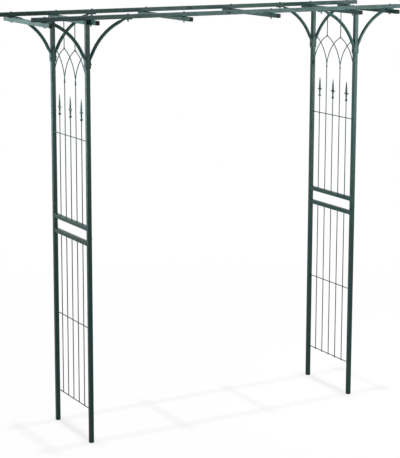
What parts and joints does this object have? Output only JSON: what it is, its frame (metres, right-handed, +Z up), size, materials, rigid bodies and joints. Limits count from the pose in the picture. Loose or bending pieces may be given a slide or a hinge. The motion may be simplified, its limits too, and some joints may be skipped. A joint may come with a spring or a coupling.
{
  "type": "garden arch",
  "caption": "Free-standing steel garden arch: two trellis legs with pointed tracery and spear finials, curved braces and a flat slatted roof over a passage for climbing plants.",
  "frame": {"origin": "on the ground, midway between the two legs and midway between their front and back posts", "axes": "+X along the width from the left leg to the right leg, +Y from the front posts to the back posts, along the way through the arch, +Z up"},
  "size_m": [2.0424, 0.5224, 2.034],
  "materials": {
    "powder_coat": "dark green powder coat on steel tube and wire, satin",
    "plastic": "moulded black polyethylene, matt",
    "fastener": "dark plated steel bolts, nuts and screws, satin"
  },
  "bodies": {
    "root": {"back_beam_left_half": "powder_coat", "back_beam_right_half": "powder_coat", "beam_end_plugs": "plastic", "beam_spigots": "powder_coat", "brace_post_bolts": "fastener", "brace_top_bolts": "fastener", "crossbar_end_plugs": "plastic", "crossing_bolts": "fastener", "front_beam_left_half": "powder_coat", "front_beam_right_half": "powder_coat", "hex_nuts": "fastener", "joint_screws": "fastener", "left_apex_uprights": "powder_coat", "left_back_inner_brace": "powder_coat", "left_back_outer_brace": "powder_coat", "left_end_crossbar": "powder_coat", "left_finial_stems": "powder_coat", "left_foot_caps": "plastic", "left_front_inner_brace": "powder_coat", "left_front_outer_brace": "powder_coat", "left_leg_crossbar": "powder_coat", "left_lower_back_post": "powder_coat", "left_lower_cross_wires": "powder_coat", "left_lower_front_post": "powder_coat", "left_lower_rail": "powder_coat", "left_lower_upright_wires": "powder_coat", "left_middle_crossbar": "powder_coat", "left_post_spigots": "powder_coat", "left_spear_finials": "powder_coat", "left_top_rail": "powder_coat", "left_tracery": "powder_coat", "left_upper_back_post": "powder_coat", "left_upper_cross_wire": "powder_coat", "left_upper_front_post": "powder_coat", "left_upper_rail": "powder_coat", "right_apex_uprights": "powder_coat", "right_back_inner_brace": "powder_coat", "right_back_outer_brace": "powder_coat", "right_end_crossbar": "powder_coat", "right_finial_stems": "powder_coat", "right_foot_caps": "plastic", "right_front_inner_brace": "powder_coat", "right_front_outer_brace": "powder_coat", "right_leg_crossbar": "powder_coat", "right_lower_back_post": "powder_coat", "right_lower_cross_wires": "powder_coat", "right_lower_front_post": "powder_coat", "right_lower_rail": "powder_coat", "right_lower_upright_wires": "powder_coat", "right_middle_crossbar": "powder_coat", "right_post_spigots": "powder_coat", "right_spear_finials": "powder_coat", "right_top_rail": "powder_coat", "right_tracery": "powder_coat", "right_upper_back_post": "powder_coat", "right_upper_cross_wire": "powder_coat", "right_upper_front_post": "powder_coat", "right_upper_rail": "powder_coat"}
  },
  "joints": []
}
